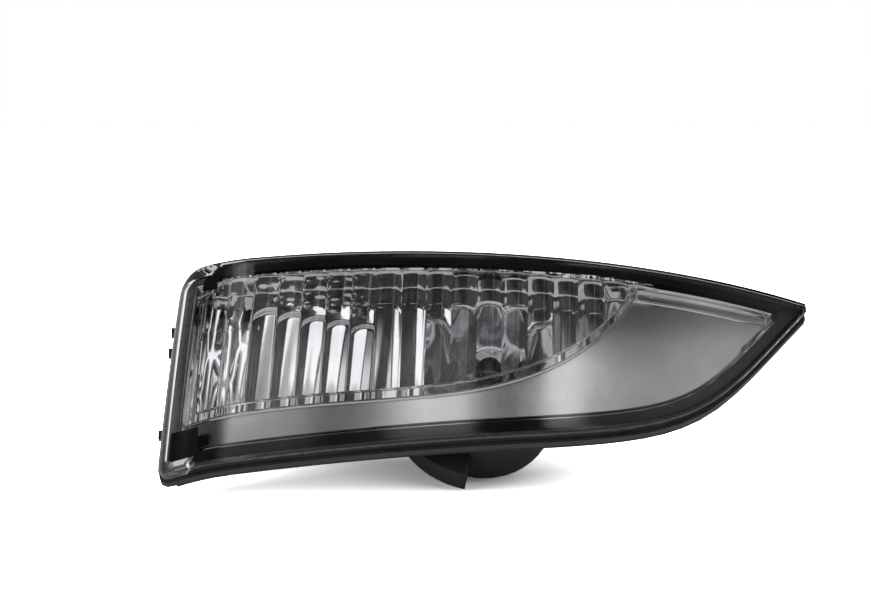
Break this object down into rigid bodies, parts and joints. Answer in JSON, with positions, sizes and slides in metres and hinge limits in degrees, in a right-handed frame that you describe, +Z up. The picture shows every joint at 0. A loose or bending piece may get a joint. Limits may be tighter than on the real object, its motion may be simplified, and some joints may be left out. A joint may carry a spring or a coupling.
{
  "type": "mirror turn signal lamp",
  "caption": "Wrap-round clear turn signal lamp for a door mirror: fluted lens with a black border, silvered reflector, black housing, bulb can and twist-lock bulb holder.",
  "frame": {"origin": "where the bulb axis meets the front of the lens, the middle of the opening in the mirror shell that the lamp fills", "axes": "+X along the lamp to its pointed tip, +Y to the back of the lamp, +Z up; the face leans back by 33 degrees"},
  "size_m": [0.1331, 0.0536, 0.0497],
  "materials": {
    "clear_acrylic": "clear, polished",
    "black_gloss": "gloss black second shot",
    "black_sealant": "dull black bead",
    "silvered": "vacuum-silvered plastic, satin",
    "black_moulding": "fine-textured black moulding",
    "black_foam": "soft closed-cell foam",
    "seal_rubber": "moulded rubber",
    "holder_moulding": "dark grey moulding",
    "contact_brass": "stamped",
    "bulb_glass": "clear blown glass",
    "lead_wire": "drawn wire",
    "tungsten": "drawn wire, coiled"
  },
  "bodies": {
    "root": {"outer_lens": "clear_acrylic", "lens_frame": "black_gloss", "sealant_bead": "black_sealant", "reflector": "silvered", "housing": "black_moulding", "gasket_strip": "black_foam", "holder_seal": "seal_rubber", "bulb_holder": "holder_moulding", "contact_upper": "contact_brass", "contact_lower": "contact_brass", "bulb_glass": "bulb_glass", "bulb_lead_left": "lead_wire", "bulb_lead_right": "lead_wire", "bulb_filament": "tungsten"}
  },
  "joints": []
}
